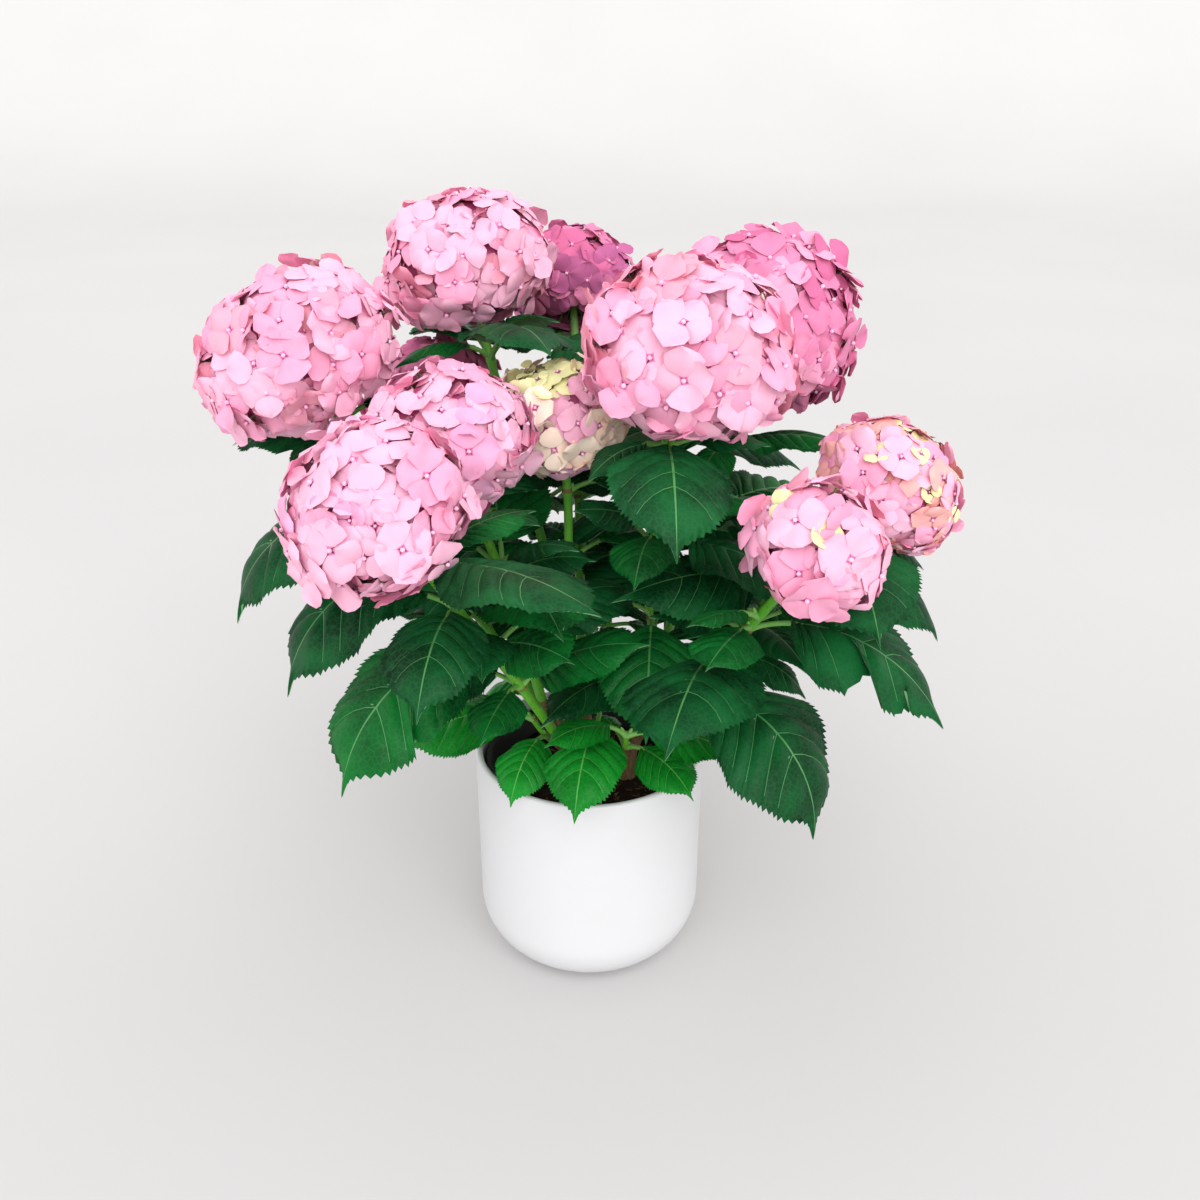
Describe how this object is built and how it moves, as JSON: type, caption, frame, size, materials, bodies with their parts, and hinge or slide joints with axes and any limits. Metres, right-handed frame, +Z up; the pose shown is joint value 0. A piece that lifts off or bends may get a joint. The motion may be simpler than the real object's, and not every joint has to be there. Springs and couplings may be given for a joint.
{
  "type": "potted hydrangea",
  "caption": "Flowering garden shrub with round pink flower heads on leafy stems, growing in compost in a plain white ceramic cover pot.",
  "frame": {"origin": "centre of the pot's flat underside", "axes": "+Z up; -Y to the front, the side seen in the picture; +X to the right of that view"},
  "size_m": [0.4885, 0.5005, 0.5584],
  "materials": {
    "white_glaze": "smooth glossy white glaze",
    "black_plastic": "thin moulded plastic",
    "compost": "moist peat with bark bits",
    "bark": "greyish brown fissured bark",
    "green_stem": "smooth young stem",
    "leaf": "dark bluish green, slightly glossy",
    "young_leaf": "bright green, slightly glossy",
    "petals_pink": "soft matt petals",
    "petals_deep_pink": "soft matt petals",
    "petals_purple_pink": "soft matt petals",
    "petals_peach": "soft matt petals",
    "petals_cream": "soft matt petals, greenish at the tips"
  },
  "bodies": {
    "root": {"pot": "white_glaze", "nursery_pot": "black_plastic", "compost": "compost", "cane_left": "bark", "cane_right": "bark", "cane_back": "bark", "stem_front_right": "green_stem", "stem_front_left_high": "green_stem", "stem_middle": "green_stem", "stem_left": "green_stem", "stem_front_left_low": "green_stem", "stem_far_right": "green_stem", "stem_low_right": "green_stem", "stem_back_right": "green_stem", "stem_high_left": "green_stem", "stem_back": "green_stem", "stem_rear_left": "green_stem", "stem_rear_right": "green_stem", "leaves_front_right": "leaf", "leaves_front_left_high": "leaf", "leaves_middle": "leaf", "leaves_left": "leaf", "leaves_front_left_low": "leaf", "leaves_far_right": "leaf", "leaves_low_right": "leaf", "leaves_back_right": "leaf", "leaves_high_left": "leaf", "leaves_back": "leaf", "leaves_rear_left": "leaf", "leaves_rear_right": "leaf", "sprout_front_left": "young_leaf", "sprout_front": "young_leaf", "sprout_right": "young_leaf", "sprout_back": "young_leaf", "bloom_front_right": "petals_pink", "bloom_front_left_high": "petals_pink", "bloom_middle": "petals_cream", "bloom_left": "petals_pink", "bloom_front_left_low": "petals_pink", "bloom_far_right": "petals_peach", "bloom_low_right": "petals_pink", "bloom_back_right": "petals_deep_pink", "bloom_high_left": "petals_pink", "bloom_back": "petals_purple_pink", "bloom_rear_left": "petals_deep_pink", "bloom_rear_right": "petals_pink"}
  },
  "joints": []
}
